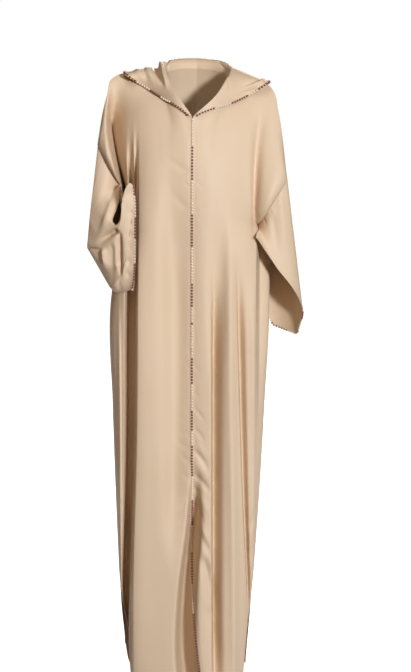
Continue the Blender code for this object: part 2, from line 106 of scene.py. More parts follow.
# Plan of the body under the arms: half widths to the right and left of the centre, depths to front and back
BODY = ("drop", "right", "left", "front", "back")
BODY_ROWS = (
    (-0.020, 0.1680, 0.1620, 0.080, 0.074),
    (0.030, 0.1690, 0.1600, 0.092, 0.092),
    (0.093, 0.1690, 0.1550, 0.104, 0.104),
    (0.160, 0.1670, 0.1500, 0.117, 0.108),
    (0.254, 0.1655, 0.1470, 0.123, 0.108),
    (0.345, 0.1700, 0.1559, 0.120, 0.104),
    (0.375, 0.1745, 0.1700, 0.118, 0.103),
    (0.405, 0.1785, 0.1800, 0.117, 0.102),
    (0.440, 0.1830, 0.1840, 0.115, 0.101),
    (0.530, 0.1955, 0.1860, 0.113, 0.104),
    (0.776, 0.1940, 0.1760, 0.111, 0.114),
    (1.030, 0.1880, 0.1630, 0.107, 0.110),
    (1.287, 0.1790, 0.1460, 0.102, 0.105),
    (1.480, 0.1690, 0.1330, 0.097, 0.100),
)
# How square the plan is: 1 is an ellipse, and less is squarer
SQUARENESS = 0.60

# Where the centre-front seam runs
CENTRE = ("drop", "x")
CENTRE_ROWS = ((0.093, 0.002), (0.900, 0.000), (1.100, 0.000), (1.280, 0.003), (1.400, 0.014), (1.480, 0.024))
# The drop at the centre where a panel's upper part ends
CENTRE_JOIN_DROP = 0.300

# Neckline from the front point to the shoulder, and on to the centre back
NECK_FRONT = {
    "right": ((0.002, -0.104, -0.093), (-0.036, -0.082, -0.047), (-0.056, -0.038, -0.010),
              (-0.063, 0.004, 0.006)),
    "left": ((0.002, -0.104, -0.093), (0.050, -0.084, -0.058), (0.078, -0.040, -0.018),
             (0.087, 0.004, 0.000)),
}
NECK_BACK = {
    "right": ((0.011, 0.074, 0.020), (-0.030, 0.060, 0.019), (-0.056, 0.034, 0.012), (-0.063, 0.004, 0.006)),
    "left": ((0.011, 0.074, 0.020), (0.052, 0.060, 0.016), (0.079, 0.034, 0.007), (0.087, 0.004, 0.000)),
}
# Top of the shoulder and of the arm, from the neck to the dropped sleeve seam
SHOULDER = {
    "right": ((-0.063, 0.004, 0.006), (-0.125, 0.004, 0.010), (-0.172, 0.003, 0.006),
              (-0.190, -0.010, -0.006), (-0.197, -0.028, -0.036), (-0.2065, -0.044, -0.076),
              (-0.2195, -0.056, -0.156)),
    "left": ((0.087, 0.004, 0.000), (0.130, 0.004, -0.005), (0.172, -0.004, -0.012),
             (0.192, -0.018, -0.033), (0.202, -0.032, -0.076), (0.2235, -0.056, -0.236)),
}
# The tilted oval of each sleeve seam: centre, half sizes across and deep, rise of its outer end
SEAM_RING = {
    "right": {"centre": (-0.1925, 0.000, -0.205), "across": 0.0270, "deep": 0.074, "rise": 0.049},
    "left": {"centre": (0.1897, 0.000, -0.2905), "across": 0.0338, "deep": 0.076, "rise": 0.0545},
}
# How round the seams' ovals are: 2 is an ellipse, and more is squarer
RING_POWER = {"outer": 3.3, "inner": 2.0}
# How far to the front the arms' outer edges lie
RING_FORWARD = 0.056
# Where the bent right sleeve passes, at eight places round it: on the upper arm and on the forearm
BENT_SLEEVE = {
    "outer": ((-0.2520, -0.056, -0.402), (-0.154, -0.128, -0.421)),
    "outer_front": ((-0.2455, -0.080, -0.345), (-0.175, -0.122, -0.394)),
    "front": ((-0.2180, -0.093, -0.285), (-0.204, -0.112, -0.318)),
    "inner_front": ((-0.1850, -0.074, -0.262), (-0.188, -0.098, -0.285)),
    "inner": ((-0.1670, -0.022, -0.258), (-0.164, -0.060, -0.255)),
    "inner_back": ((-0.1820, 0.035, -0.340), (-0.172, -0.066, -0.430)),
    "back": ((-0.2150, 0.058, -0.385), (-0.180, -0.052, -0.498)),
    "outer_back": ((-0.2470, 0.032, -0.400), (-0.181, -0.108, -0.480)),
}
# The line of each cuff: share of the way round, and the point there
CUFF = {
    "right": (
        (0.000, -0.134, -0.130, -0.246), (0.040, -0.143, -0.134, -0.239), (0.075, -0.152, -0.136, -0.254),
        (0.125, -0.158, -0.137, -0.286), (0.190, -0.162, -0.136, -0.324), (0.230, -0.167, -0.133, -0.338),
        (0.270, -0.173, -0.129, -0.338), (0.320, -0.182, -0.122, -0.326), (0.375, -0.176, -0.115, -0.305),
        (0.430, -0.169, -0.106, -0.284), (0.500, -0.168, -0.090, -0.256), (0.560, -0.160, -0.088, -0.330),
        (0.625, -0.139, -0.101, -0.435), (0.750, -0.138, -0.117, -0.487), (0.875, -0.131, -0.133, -0.412),
    ),
    "left": (
        (0.000, 0.267, -0.008, -0.556), (0.060, 0.259, -0.036, -0.529), (0.125, 0.241, -0.058, -0.496),
        (0.190, 0.224, -0.068, -0.472), (0.250, 0.206, -0.074, -0.450), (0.320, 0.186, -0.080, -0.421),
        (0.390, 0.169, -0.086, -0.394), (0.450, 0.156, -0.092, -0.373), (0.500, 0.151, -0.088, -0.366),
        (0.550, 0.180, -0.036, -0.386), (0.625, 0.186, 0.050, -0.466), (0.690, 0.184, 0.076, -0.550),
        (0.750, 0.198, 0.080, -0.602), (0.812, 0.226, 0.070, -0.616), (0.875, 0.254, 0.046, -0.620),
        (0.940, 0.264, 0.018, -0.590),
    ),
}

# Flat facets of the sleeves, where the cloth is pulled straight: a point on each and the way it faces
FACETS = {
    "right": (
        ((-0.247, -0.050, -0.398), (-0.867, -0.125, -0.483)),
        ((-0.247, 0.000, -0.398), (-0.993, 0.000, 0.118)),
    ),
    "left": (
        ((0.193, 0.060, -0.598), (-0.371, -0.137, -0.918)),
        ((0.255, 0.020, -0.617), (0.953, -0.110, -0.284)),
    ),
}

# Folds of the front and back: x at evenly spaced places from the top of each to its low end, the drops where
# it starts and ends, how far it stands out or in, its half width at the top and low end, its skew, below 0
# where it is steeper on its -X side and above 0 on its +X side, and the power of its section: 2 is round, and
# more is squarer
FOLD = ("path", "drop_top", "drop_low", "out", "wide_top", "wide_low", "skew", "power")
FRONT_FOLDS = {
    "right_arm_valley": (
        (-0.190, -0.191, -0.192, -0.192, -0.191, -0.180, -0.166, -0.159, -0.149, -0.138),
        -0.1575, 0.450, -0.104, 0.0215, 0.014, -0.80, 1.3,
    ),
    "right_arm_ridge": ((-0.198, -0.197, -0.196, -0.188), -0.020, 0.300, 0.006, 0.008, 0.010, 0.0, 2),
    "right_pleat_outer": ((-0.149, -0.149, -0.148), 0.090, 0.440, 0.009, 0.005, 0.006, 0.3, 2),
    "right_pleat": ((-0.134, -0.134, -0.135), 0.090, 0.440, 0.026, 0.005, 0.005, 0.0, 2),
    "right_recess": ((-0.134, -0.1415, -0.148, -0.162, -0.1715), 0.120, 1.600, -0.058, 0.017, 0.021, 0.25, 6),
    "right_edge": ((-0.118, -0.124, -0.130, -0.143, -0.147), 0.100, 1.600, 0.013, 0.030, 0.032, -0.75, 2),
    "right_side_ridge": ((-0.172, -0.173, -0.178), 0.480, 1.300, 0.006, 0.009, 0.010, 0.4, 2),
    "centre_hollow": ((-0.044, -0.042, -0.042), 0.160, 1.200, -0.018, 0.044, 0.038, -0.40, 2),
    "right_trough": ((-0.034, -0.032, -0.050), 0.300, 1.150, -0.004, 0.017, 0.017, 0.0, 2),
    "centre_trough": (
        (0.006, 0.000, -0.017, -0.022, -0.006, 0.004),
        0.900, 1.720, -0.074, 0.011, 0.027, -0.25, 3,
    ),
    "left_trough_top": ((0.058, 0.055, 0.052), 0.240, 0.760, -0.010, 0.026, 0.020, -0.3, 2),
    "left_trough": ((0.050, 0.050, 0.051, 0.054), 0.440, 1.600, -0.040, 0.010, 0.011, -0.72, 2),
    "left_ridge": ((0.086, 0.092, 0.100, 0.104), 0.300, 1.600, 0.010, 0.014, 0.016, 0.0, 2),
    "left_edge_trough": ((0.104, 0.113, 0.123, 0.137, 0.140), 0.400, 1.600, -0.026, 0.009, 0.009, -0.75, 2),
    "left_side_ridge": ((0.142, 0.146, 0.150, 0.150), 0.400, 1.400, 0.006, 0.012, 0.012, 0.0, 2),
    "left_arm_valley": ((0.176, 0.152, 0.146, 0.147), 0.000, 0.440, -0.018, 0.014, 0.014, -0.2, 2),
}
BACK_FOLDS = {
    "right_arm_valley": ((-0.182, -0.170, -0.158), 0.050, 0.380, -0.013, 0.015, 0.015, 0.0, 2),
    "right_outer": ((-0.126, -0.138, -0.132), 0.240, 1.600, 0.016, 0.014, 0.016, 0.0, 2),
    "right_outer_trough": ((-0.100, -0.108, -0.100), 0.300, 1.600, -0.022, 0.012, 0.014, -0.6, 2),
    "right_inner": ((-0.062, -0.066, -0.062), 0.360, 1.600, 0.012, 0.014, 0.018, 0.0, 2),
    "right_inner_trough": ((-0.036, -0.034, -0.030), 0.430, 1.600, -0.026, 0.012, 0.016, -0.6, 2),
    "centre": ((0.006, 0.004, 0.008), 0.260, 1.600, 0.016, 0.016, 0.018, 0.0, 2),
    "left_inner": ((0.060, 0.050, 0.044), 0.520, 1.600, -0.028, 0.012, 0.015, 0.6, 2),
    "left_middle": ((0.086, 0.084, 0.074), 0.300, 1.600, 0.012, 0.014, 0.014, 0.0, 2),
    "left_outer": ((0.120, 0.118, 0.104), 0.380, 1.600, -0.020, 0.012, 0.013, 0.5, 2),
    "left_arm_valley": ((0.170, 0.150, 0.146), 0.080, 0.420, -0.008, 0.018, 0.018, 0.0, 2),
}
# How far down a fold grows from nothing, the narrowest it gets where the body turns away, and the shares of a
# panel's upper part and of its width, in its upper and lower part, over which folds die out at its edges
FOLD_FADE = 0.24
NARROWEST = 0.45
TOP_FADE = 0.3
EDGE_FADES = (0.10, 0.13)
# Where the left front turns back to the side under the sleeve: x, over how much, how far back as a share, and
# the drops where it starts and ends, each fading over another drop
SIDE_TURN = {
    "x": 0.1500, "wide": 0.012, "share": 0.62,
    "drop_top": 0.345, "fade_top": 0.04, "drop_low": 0.90, "fade_low": 0.30,
}

# The edges of the centre front's seam allowances, pressed under, showing as faint lines beside the braid
SEAM_LINE = {"aside": 0.0062, "out": -0.0007, "wide": 0.0015}

# Creases in millimetres, each a soft trough or ridge from its sharper end to where it dies out: across and
# down of both ends, how far its middle bows aside, how far it stands out or in, and its half width. Across is
# x, and down is the drop
MM = 0.001
CREASE = ("across_from", "down_from", "across_to", "down_to", "bow", "out", "wide")
# The shares of its length over which a crease grows and dies out, and, on a sleeve or the hood, how squarely
# the cloth has to face the front or up to show it whole, and the shares of the rows at a sleeve's seam and
# the hood's beads over which it fades
CREASE_START = 0.18
CREASE_END = 0.6
CREASE_FACING = 0.4
CREASE_FADE = 0.05
BEAD_CREASE_FADE = 0.16
FRONT_CREASES = (
    # pulled by the braid, on its left
    (3, 535, 16, 549, 1, -1.2, 2.8),
    (3, 556, 22, 566, 1, -1.4, 3),
    (3, 590, 14, 599, 0, -1, 2.6),
    (3, 604, 14, 617, 1, -1.2, 2.8),
    (3, 672, 24, 690, 2, -2, 3.4),
    (3, 716, 16, 732, 1, -1.4, 3),
    (3, 732, 20, 752, 1, -1.6, 3),
    (3, 773, 36, 812, 2, -2.8, 3.8),
    (3, 824, 32, 856, 3, -3, 4.2),
    (3, 852, 18, 872, 1, -1.8, 3.2),
    (3, 876, 44, 930, 3, -4.6, 5.2),
    (3, 936, 50, 992, 4, -6, 6.2),
    (3, 968, 18, 1008, 1, -2.8, 4.4),
    (4, 1010, 30, 1066, 3, -4.4, 5.6),
    (10, 1070, 60, 1180, 4, -4, 8),
    # ridges between them
    (4, 856, 40, 896, 2, 2.2, 6),
    (4, 906, 46, 958, 3, 2.6, 7),
    (6, 978, 48, 1050, 3, 3, 8),
    (4, 1045, 52, 1140, 4, 3, 8),
    # the same, softer, on its right
    (-3, 640, -15, 629, 0, -1.2, 3),
    (-3, 676, -17, 664, 1, -1.6, 3.6),
    (-4, 779, -24, 772, 1, -1, 4),
    (-3, 788, -16, 782, 0, -1, 3),
    (-4, 806, -30, 798, 1, -1.2, 4.4),
    (-3, 842, -20, 832, 1, -1.4, 3.6),
    (-4, 872, -44, 852, 2, -1.8, 5.6),
    (-4, 908, -32, 886, 1, -2, 5),
    (-4, 948, -28, 934, 1, -2, 4.8),
    (-6, 985, -42, 1030, 3, -2, 7),
    (-10, 1040, -58, 1060, 3, -1.8, 7),
    (-16, 1110, -52, 1140, 2, -1.6, 7),
    # drag lines of the chest
    (-4, 118, -18, 106, 1, -0.8, 4),
    (-4, 215, -60, 178, 3, -1.4, 8),
    (-4, 300, -56, 250, 4, -1.4, 8),
    (-4, 246, -20, 236, 1, -1, 4),
    (-3, 330, -15, 322, 1, -1, 3.4),
    (6, 236, 30, 250, 1, -1, 4.4),
    (5, 300, 20, 306, 1, -1, 3.6),
    (5, 344, 22, 352, 1, -1, 3.6),
    # low side folds
    (156, 1020, 128, 1110, 3, -3.4, 6),
    (150, 1100, 134, 1210, 2, -2.4, 5),
    (-170, 1000, -160, 1190, 2, -5, 6),
    (-183, 900, -172, 1120, 2, 3, 6),
    # the second, shallower fold beside the centre one
    (22, 1130, 50, 1330, 8, -10, 11),
    (34, 1260, 52, 1420, 4, -5, 9),
)
BACK_CREASES = (
    (-10, 140, -70, 200, 6, -2.2, 9),
    (20, 160, 82, 230, -6, -2.2, 10),
    (-80, 300, -30, 420, 6, -3, 9),
    (96, 340, 60, 470, 4, -3, 9),
    (-150, 520, -110, 690, 4, -4, 9),
    (140, 560, 110, 720, -4, -3.6, 8),
    (-10, 760, 26, 900, 4, -3, 8),
    (-90, 960, -56, 1120, 3, -3.4, 8),
    (94, 1000, 60, 1180, 3, -3.4, 8),
)

# Creases of what faces the front or up on the sleeves and the hood
SLEEVE_CREASES = {
    "right": (
        # the fold from the plain hem's foot to the elbow, the bent cloth above it, and the elbow's own crease
        (-167, 346, -224, 386, -3, -16, 6.5),
        (-184, 275, -220, 378, 3, 6, 8),
        (-247, 394, -210, 394, 0, -5, 3),
        # the folds hanging under the forearm
        (-205, 388, -199, 454, 1, 10, 5.5),
        (-167, 345, -168, 520, 0, -15, 5.5),
        (-186, 374, -185, 482, 0, -4, 6),
        (-174, 424, -163, 490, 0, 6, 4),
        # puckers beside the braid
        (-134, 257, -155, 268, 0, -3.6, 4),
        (-134, 281, -152, 291, 0, 2.4, 4),
        (-135, 303, -153, 316, 0, -3.6, 4),
        (-135, 328, -156, 338, 0, -3, 3.8),
        (-135, 353, -158, 362, 0, -3.4, 4),
        (-137, 380, -156, 387, 0, -2.8, 3.8),
        (-140, 425, -159, 409, 0, -3.4, 4.2),
        (-143, 458, -156, 437, 0, -3.2, 4.2),
    ),
    "left": (
        (169, 188, 163, 327, 3, -5, 8),
        (203, 258, 223, 441, 2, 3, 9),
        (187, 310, 200, 427, 2, -3, 8),
        (164, 319, 178, 347, 0, -2, 3),
        (178, 300, 189, 319, 0, -1.6, 3),
    ),
}
HOOD_CREASES = {
    "right": (
        (-95, -45, -60, 27, 0, -14, 6.5),
        (-79, -45, -53, 37, 0, 8, 5),
        (-121, -36, -79, 34, 2, 4, 8),
        (-59, -54, -57, -5, 0, -9, 2.6),
        (-68, -54, -63, -12, 0, 4, 3),
        (-137, -29, -107, 20, 1, 3, 6),
        (-116, -29, -98, 16, 0, -4, 5),
    ),
    "left": (
        (85, -20, 88, 50, 0, -3, 2.2),
        (184, 9, 92, 43, 1, -6, 2.4),
        (178, 2, 103, 34, 1, 4, 4),
        (164, 5, 108, 23, 1, -2, 5),
        (61, -40, 82, -14, 0, -5, 3),
    ),
}

# Slow unevenness of the hanging cloth: how far it moves, and its size across and down
SWAY = {"out": 0.0016, "across": 0.060, "down": 0.420}
RIPPLE = {"out": 0.0004, "across": 0.022, "down": 0.090}

# Hood, from the front point round to the centre back: how far the roll stands above and outside the neckline,
# where the beaded edge lies, and how deep the bag hangs between them
HOOD = ("share", "roll_up", "roll_out", "edge_x", "edge_y", "edge_z", "bag")
HOOD_ROWS = {
    "right": (
        (0.00, 0.003, 0.000, -0.006, -0.110, -0.087, 0.000),
        (0.16, 0.012, 0.004, -0.045, -0.092, -0.062, 0.000),
        (0.36, 0.017, 0.006, -0.103, -0.066, -0.027, 0.000),
        (0.54, 0.020, 0.008, -0.160, -0.014, 0.008, 0.000),
        (0.62, 0.021, 0.009, -0.158, 0.042, 0.010, 0.006),
        (0.76, 0.023, 0.020, -0.118, 0.120, -0.012, 0.110),
        (1.00, 0.025, 0.026, 0.010, 0.172, -0.052, 0.215),
    ),
    "left": (
        (0.00, 0.003, 0.000, 0.010, -0.110, -0.087, 0.000),
        (0.16, 0.011, 0.004, 0.052, -0.092, -0.074, 0.000),
        (0.36, 0.016, 0.006, 0.118, -0.072, -0.050, 0.000),
        (0.54, 0.020, 0.008, 0.183, -0.016, -0.014, 0.000),
        (0.62, 0.021, 0.009, 0.181, 0.038, -0.012, 0.006),
        (0.76, 0.023, 0.020, 0.142, 0.118, -0.026, 0.105),
        (1.00, 0.025, 0.026, 0.010, 0.172, -0.052, 0.215),
    ),
}

# Which way x runs on each side, and y to the front and back
SIGN = {"right": -1.0, "left": 1.0}
FACING = {"front": -1.0, "back": 1.0}

# Beads in each run of one colour, maroon and cream by turns from maroon: down the front, along each half of
# the hood from its front point, and along each cuff from its outer corner
FRONT_RUNS = (0, 9, 11, 11, 11, 12, 8, 5, 1, 11, 9, 9, 7, 5, 11, 10, 11, 10, 11, 10, 11)
HOOD_RUNS = {"right": (8, 5, 5, 6, 7, 8), "left": (7, 7, 7, 4, 7, 8)}
CUFF_RUNS = {"right": (3, 7, 7, 8, 9, 6), "left": (4, 6, 1, 5, 7, 8)}


# Curves and tables
def curve(keys, values, at):
    """A smooth curve through the values at rising keys, read at these places."""
    keys, values, at = np.asarray(keys, float), np.asarray(values, float), np.asarray(at, float)
    slopes = np.gradient(values, keys, axis=0)
    i = np.clip(np.searchsorted(keys, at, side="right") - 1, 0, len(keys) - 2)
    step = keys[i + 1] - keys[i]
    f = np.clip((at - keys[i]) / step, 0.0, 1.0)
    trailing = tuple(range(at.ndim, at.ndim + values.ndim - 1))
    step, f = np.expand_dims(step, trailing), np.expand_dims(f, trailing)
    start = values[i] * (1 + 2 * f) * (1 - f) ** 2 + slopes[i] * step * f * (1 - f) ** 2
    end = values[i + 1] * (3 - 2 * f) * f**2 - slopes[i + 1] * step * f**2 * (1 - f)
    return start + end


def column(names, rows, name, at):
    """One column of a table, read along its first column."""
    table = np.array(rows, float)
    return curve(table[:, 0], table[:, names.index(name)], at)


def along(points, share):
    """The point at this share of the length of a smooth line through the points."""
    points = np.array(points, float)
    steps = np.linalg.norm(np.diff(points, axis=0), axis=1)
    keys = np.concatenate([[0.0], np.cumsum(steps)]) / steps.sum()
    return curve(keys, points, share)


def smooth_step(value):
    """Rises smoothly from 0 to 1 as the value does."""
    value = np.clip(value, 0.0, 1.0)
    return value * value * (3 - 2 * value)


def unit(vectors):
    """The vectors at length 1."""
    return vectors / np.maximum(np.linalg.norm(vectors, axis=-1, keepdims=True), 1e-12)


# Body
def seam_ring(side, turn):
    """The sleeve seam of one side; the turn runs from 0 at its outer end, over the front, round to 1."""
    ring = SEAM_RING[side]
    angle = 2 * np.pi * np.asarray(turn, float)
    power = np.where(np.cos(angle) > 0, RING_POWER["outer"], RING_POWER["inner"])
    reach = (abs(np.cos(angle)) ** power + abs(np.sin(angle)) ** power) ** (-1 / power)
    level, depth = reach * np.cos(angle), reach * np.sin(angle)
    x = ring["centre"][0] + SIGN[side] * ring["across"] * level
    y = ring["centre"][1] - ring["deep"] * depth - RING_FORWARD * level.clip(0) * (1 - abs(depth))
    z = ring["centre"][2] + ring["rise"] * level
    return np.stack([x, y, z], axis=-1)


def centre_line(facing, drop):
    """The centre front or centre back line."""
    x = column(CENTRE, CENTRE_ROWS, "x", drop)
    y = FACING[facing] * column(BODY, BODY_ROWS, facing, drop)
    if facing == "back":
        x = NECK_BACK["right"][0][0] * (1 - smooth_step(drop / CENTRE_JOIN_DROP))
    return np.stack([x, y, -drop], axis=-1)


def section(side, facing, share, drop):
    """A point of the plain body under the arms, at this share of the way from the centre to the side."""
    angle = share * np.pi / 2
    centre = centre_line(facing, drop)
    half = column(BODY, BODY_ROWS, side, drop) + SIGN[side] * -centre[..., 0]
    x = centre[..., 0] + SIGN[side] * half * np.sin(angle)
    y = centre[..., 1] * np.cos(angle).clip(0) ** SQUARENESS
    return np.stack([x, y, -drop], axis=-1)


def top_edge(side, facing, share):
    """The neckline, then the shoulder out to the sleeve seam."""
    necklines = NECK_FRONT if facing == "front" else NECK_BACK
    on_neck = along(necklines[side], np.clip(share / NECK_SHARE, 0, 1))
    on_shoulder = along(SHOULDER[side], np.clip((share - NECK_SHARE) / (1 - NECK_SHARE), 0, 1))
    return np.where((share <= NECK_SHARE)[..., None], on_neck, on_shoulder)


def rounded_top(side, facing, share, down):
    """The top edge with its corner at the neck rounded off, which it is once a little way down the panel."""
    reach = NECK_ROUND["reach"] * smooth_step(down / NECK_ROUND["down"]) * 4 * share * (1 - share)
    offsets = np.linspace(-1, 1, NECK_ROUND["places"])
    return np.mean([top_edge(side, facing, share + reach * offset) for offset in offsets], axis=0)


def join_drop(side, share):
    """How far down the upper part of a panel reaches: to the underarm at the side."""
    underarm = -seam_ring(side, 0.5)[2]
    return CENTRE_JOIN_DROP + (underarm - CENTRE_JOIN_DROP) * share


def upper_part(side, facing, share, down):
    """The panel from the neck and shoulder to the underarm, smooth between its four edges."""
    start = rounded_top(side, facing, share, down)
    end = section(side, facing, share, join_drop(side, share))
    ease = np.stack([1 - (1 - down) ** 2, 1 - (1 - down) ** 3, down], axis=-1)
    first = top_edge(side, facing, np.zeros(1))[0]
    centre_drop = -first[2] + (CENTRE_JOIN_DROP + first[2]) * down
    centre = centre_line(facing, centre_drop)
    last = centre_line(facing, np.array(CENTRE_JOIN_DROP))
    centre_bulge = centre - (first * (1 - ease) + last * ease)
    turn = down / 2 if facing == "front" else 1 - down / 2
    outer, inner = seam_ring(side, 0.0), seam_ring(side, 0.5)
    ring_bulge = seam_ring(side, turn) - (outer * (1 - ease) + inner * ease)
    near_ring = smooth_step((share - RING_FROM) / (1 - RING_FROM))[..., None] ** RING_EASE
    near_centre = (1 - share)[..., None] ** 2
    return start * (1 - ease) + end * ease + near_centre * centre_bulge + near_ring * ring_bulge


def fold_offsets(folds, x, drop, turn_away):
    """How far the folds move a point out."""
    out = np.zeros_like(x)
    for row in folds.values():
        fold = dict(zip(FOLD, row))
        run = (drop - fold["drop_top"]) / (fold["drop_low"] - fold["drop_top"])
        ends = np.clip(run, 0, 1)
        place = curve(np.linspace(0, 1, len(fold["path"])), fold["path"], ends)
        wide = (fold["wide_top"] + (fold["wide_low"] - fold["wide_top"]) * ends) * turn_away
        wide = wide * np.where(x < place, 1 + fold["skew"], 1 - fold["skew"])
        fade_in = smooth_step((drop - fold["drop_top"]) / FOLD_FADE)
        fade_out = smooth_step((fold["drop_low"] - drop) / FOLD_FADE)
        bump = np.exp(-abs((x - place) / wide) ** fold["power"]) * fade_in * fade_out
        out += fold["out"] * bump
    return out


def crease_offsets(creases, across, down):
    """How far the creases move a point out."""
    out = np.zeros_like(across)
    for row in creases:
        crease = dict(zip(CREASE, np.array(row) * MM))
        way = np.array([crease["across_to"] - crease["across_from"], crease["down_to"] - crease["down_from"]])
        length = np.linalg.norm(way)
        way = way / length
        right, low = across - crease["across_from"], down - crease["down_from"]
        run = (right * way[0] + low * way[1]) / length
        aside = right * way[1] - low * way[0] - crease["bow"] * 4 * run * (1 - run)
        ends = smooth_step(run / CREASE_START) * smooth_step((1 - run) / CREASE_END)
        out += crease["out"] * np.exp(-((aside / crease["wide"]) ** 2)) * ends
    return out


def creased(grid, outward, creases):
    """A grid with creases pressed into what faces the front or up, away from its first row's seam."""
    out = crease_offsets(creases, grid[..., 0], -grid[..., 2])
    seen = smooth_step((outward[..., 2].clip(0) - outward[..., 1]) / CREASE_FACING)
    off_seam_row = smooth_step(np.linspace(0, 1, len(grid)) / CREASE_FADE)[:, None]
    return grid + outward * (out * seen * off_seam_row)[..., None]


def uneven(across, down, seed):
    """The cloth's slow unevenness, worked out from smooth noise."""
    out = np.zeros(across.size)
    for index, (u, v) in enumerate(zip(across.ravel(), down.ravel())):
        for size in (SWAY, RIPPLE):
            out[index] += size["out"] * noise.noise((u / size["across"], v / size["down"], seed))
    return out.reshape(across.shape)


def slit(side, facing, share, drop):
    """How far a panel's side edge stands away from the other panel's below the top of the slit."""
    opening = smooth_step((drop - SLIT_DROP) / (HEM_DROP - SLIT_DROP))
    opening = opening * smooth_step((share - SLIT_SHARE) / (1 - SLIT_SHARE))
    across, away, up = SLIT[side][facing]
    x, y = -SIGN[side] * across * opening, FACING[facing] * away * opening
    return np.stack([x, y, up * opening**2], axis=-1)


def relief(facing, x, drop, turn_away):
    """How far folds, creases, pressed seam allowances and slow unevenness move a panel's points out."""
    folds, creases = (FRONT_FOLDS, FRONT_CREASES) if facing == "front" else (BACK_FOLDS, BACK_CREASES)
    out = fold_offsets(folds, x, drop, turn_away) + crease_offsets(creases, x, drop)
    from_line = (abs(x - x[:, :1]) - SEAM_LINE["aside"]) / SEAM_LINE["wide"]
    return out + uneven(x, drop, FACING[facing]) + SEAM_LINE["out"] * np.exp(-(from_line**2))


def side_turn(x, drop):
    """The share by which the left front turns back to the side."""
    fade = smooth_step((drop - SIDE_TURN["drop_top"]) / SIDE_TURN["fade_top"])
    fade = fade * smooth_step((SIDE_TURN["drop_low"] - drop) / SIDE_TURN["fade_low"])
    return SIDE_TURN["share"] * fade * smooth_step((x - SIDE_TURN["x"]) / SIDE_TURN["wide"])


def body_half(side, facing, size):
    """The points of half the front or back: rows from top to hem, columns from the centre to the side."""
    share = np.linspace(0, 1, size["columns"] + 1)
    down, share_up = np.meshgrid(np.linspace(0, 1, size["upper"] + 1), share, indexing="ij")
    fall, share_low = np.meshgrid(np.linspace(0, 1, size["lower"] + 1)[1:], share, indexing="ij")
    join = join_drop(side, share_low)
    lower = section(side, facing, share_low, join + (HEM_DROP - join) * fall)
    points = np.concatenate([upper_part(side, facing, share_up, down), lower])
    shares = np.concatenate([share_up, share_low])
    down = np.concatenate([down, np.ones_like(fall)])
    edge_fade = np.repeat(EDGE_FADES, (len(share_up), len(share_low)))[:, None]
    off_edges = smooth_step(down / TOP_FADE) * smooth_step((1 - shares) / edge_fade)
    turn_away = (1 - (1 - np.cos(shares * np.pi / 2)) * down).clip(NARROWEST, 1)
    x, drop = points[..., 0], -points[..., 2]
    points[..., 1] += FACING[facing] * relief(facing, x, drop, turn_away) * off_edges
    if (side, facing) == ("left", "front"):
        points[..., 1] *= 1 - side_turn(x, drop)
    return points + slit(side, facing, shares, drop)


# Sleeves
def around(shares, points, turn):
    """A smooth closed line through the points at these shares of the way round."""
    shares, points = np.array(shares), np.array(points)
    keys = np.concatenate([shares[-2:] - 1, shares, shares[:3] + 1])
    return curve(keys, np.concatenate([points[-2:], points, points[:3]]), turn)


def pull_straight(points, side):
    """Draws what stands out past the facets of a sleeve back onto them."""
    for place, facing in FACETS[side]:
        facing = unit(np.array(facing))
        past = np.maximum((points - np.array(place)) @ facing, 0)
        points = points - past[..., None] * facing
    return points


def sleeve_points(side, columns, rows):
    """The points of a sleeve: rows from seam to cuff, columns from its outer line round over the front."""
    turn = np.linspace(0, 1, columns + 1)[:-1]
    seam, table = seam_ring(side, turn), np.array(CUFF[side])
    cuff = around(table[:, 0], table[:, 1:], turn)
    if side == "right":
        places = np.arange(len(BENT_SLEEVE)) / len(BENT_SLEEVE)
        middle = [around(places, ring, turn) for ring in zip(*BENT_SLEEVE.values())]
    else:
        middle = [seam + (cuff - seam) * share for share in STATIONS[1:3]]
    rings = pull_straight(np.stack([seam] + middle + [cuff]), side)
    return pull_straight(curve(STATIONS, rings, np.linspace(0, 1, rows + 1)), side)


# Hood
def neckline(side, share):
    """The neckline from the front point, share 0, past the shoulder, round to the centre back, share 1."""
    front = along(NECK_FRONT[side], np.clip(share * 2, 0, 1))
    back = along(NECK_BACK[side], np.clip(2 - share * 2, 0, 1))
    return np.where((share <= 0.5)[..., None], front, back)


def hood_points(side, columns, roll_rows, flap_rows):
    """Half the hood, laid back: rows from the neck over the roll to the beaded edge, columns round it."""
    share = np.linspace(0, 1, columns + 1)
    read = {name: column(HOOD, HOOD_ROWS[side], name, share) for name in HOOD[1:]}
    neck = neckline(side, share)
    outward = unit((neck - NECK_BACK[side][0] * np.array([1, 0, 0])) * np.array([1, 1, 0]))
    up = np.array([0.0, 0.0, 1.0])
    roll = neck + up * read["roll_up"][:, None] + outward * read["roll_out"][:, None]
    edge = np.stack([read["edge_x"], read["edge_y"], read["edge_z"]], axis=-1)
    rises = np.linspace(0, 1, roll_rows + 1)[:-1]
    lines = [neck + (roll - neck) * np.array([rise**2, rise**2, np.sin(rise * np.pi / 2)]) for rise in rises]
    for reach in np.linspace(0, 1, flap_rows + 1):
        sag = 1 - abs(2 * reach - 1) ** BAG_ROUNDNESS
        lines.append(roll + (edge - roll) * reach - up * (read["bag"] * sag)[:, None])
    return np.array(lines)


# Grids and walls
def grid_faces(rows, columns, closed=False):
    """The faces of a grid of points; a closed one joins its last column to its first."""
    r, c = np.meshgrid(np.arange(rows - 1), np.arange(columns if closed else columns - 1), indexing="ij")
    here, beside = r * columns + c, r * columns + (c + 1) % columns
    return np.stack([here, here + columns, beside + columns, beside], axis=-1).reshape(-1, 4)


def tree_of(grid):
    """A search tree over an open grid whose faces look outwards."""
    return BVHTree.FromPolygons(grid.reshape(-1, 3).tolist(), grid_faces(*grid.shape[:2]).tolist())


